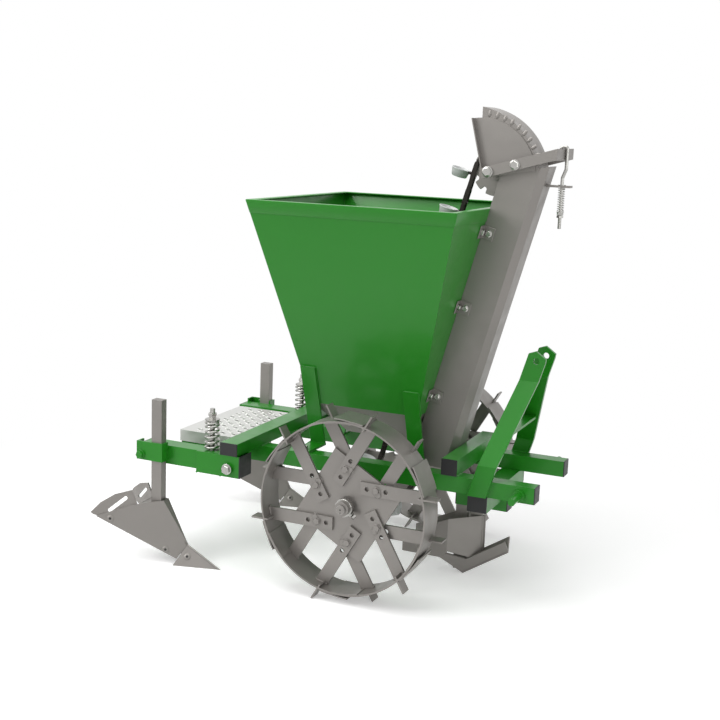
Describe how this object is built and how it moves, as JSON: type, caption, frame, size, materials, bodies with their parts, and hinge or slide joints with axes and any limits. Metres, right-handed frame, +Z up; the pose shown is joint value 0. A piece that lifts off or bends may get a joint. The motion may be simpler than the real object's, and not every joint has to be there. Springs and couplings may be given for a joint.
{
  "type": "potato planter",
  "caption": "Tractor-mounted single-row potato planter with lugged drive wheels, hopper, cup elevator in a leaning tube, furrow opener and sprung hillers.",
  "frame": {"origin": "on the floor, midway along and across the machine's box", "axes": "+X forward to the hitch, +Y to the left, +Z up"},
  "size_m": [1.375, 0.9428, 1.4674],
  "materials": {
    "green_paint": "glossy green powder coat",
    "grey_paint": "satin grey paint",
    "zinc_plating": "bright zinc plating",
    "bright_steel": "turned bright steel",
    "chain_steel": "oiled dark steel",
    "cup_plastic": "light grey moulded plastic",
    "black_plastic": "moulded black plastic"
  },
  "bodies": {
    "frame": {"axle_bearings": "green_paint", "beam_left": "green_paint", "beam_right": "green_paint", "elevator_chain": "chain_steel", "elevator_cups": "cup_plastic", "end_caps": "black_plastic", "fall_tube": "grey_paint", "front_cross_tube": "green_paint", "head_hood": "grey_paint", "hiller_arm_left": "green_paint", "hiller_arm_right": "green_paint", "hiller_body_left": "grey_paint", "hiller_body_right": "grey_paint", "hiller_bolts": "zinc_plating", "hiller_bracket_left": "green_paint", "hiller_bracket_right": "green_paint", "hiller_clamp_left": "green_paint", "hiller_clamp_right": "green_paint", "hiller_leg_left": "grey_paint", "hiller_leg_right": "grey_paint", "hiller_share_left": "grey_paint", "hiller_share_right": "grey_paint", "hiller_springs": "zinc_plating", "hiller_wing_ends_left": "grey_paint", "hiller_wing_ends_right": "grey_paint", "hook_bolt": "zinc_plating", "hook_eye_bar": "grey_paint", "hook_spring": "zinc_plating", "hopper": "green_paint", "hopper_leg_front_left": "green_paint", "hopper_leg_front_right": "green_paint", "hopper_leg_rear_left": "green_paint", "hopper_leg_rear_right": "green_paint", "lower_link_pins": "green_paint", "lower_sprocket": "grey_paint", "mast_bar_left": "green_paint", "mast_bar_right": "green_paint", "mast_cross_plate": "green_paint", "middle_cross_tube": "green_paint", "opener_body": "grey_paint", "opener_carrier": "green_paint", "opener_shanks": "grey_paint", "opener_share": "grey_paint", "rear_cross_beam": "green_paint", "sector_plate": "grey_paint", "step_plate": "zinc_plating", "sump": "grey_paint", "tension_lever": "zinc_plating", "upper_sprocket": "grey_paint"},
    "drive": {"axle": "bright_steel", "wheel_hub_left": "grey_paint", "wheel_hub_right": "grey_paint", "wheel_rim_left": "grey_paint", "wheel_rim_right": "grey_paint", "wheel_spokes_left": "grey_paint", "wheel_spokes_right": "grey_paint"}
  },
  "joints": [
    {"name": "drive_axle", "type": "hinge", "parent": "frame", "child": "drive", "pos_m": [0.1715, 0, 0.29193], "axis": [0, 1, 0], "continuous": true}
  ]
}
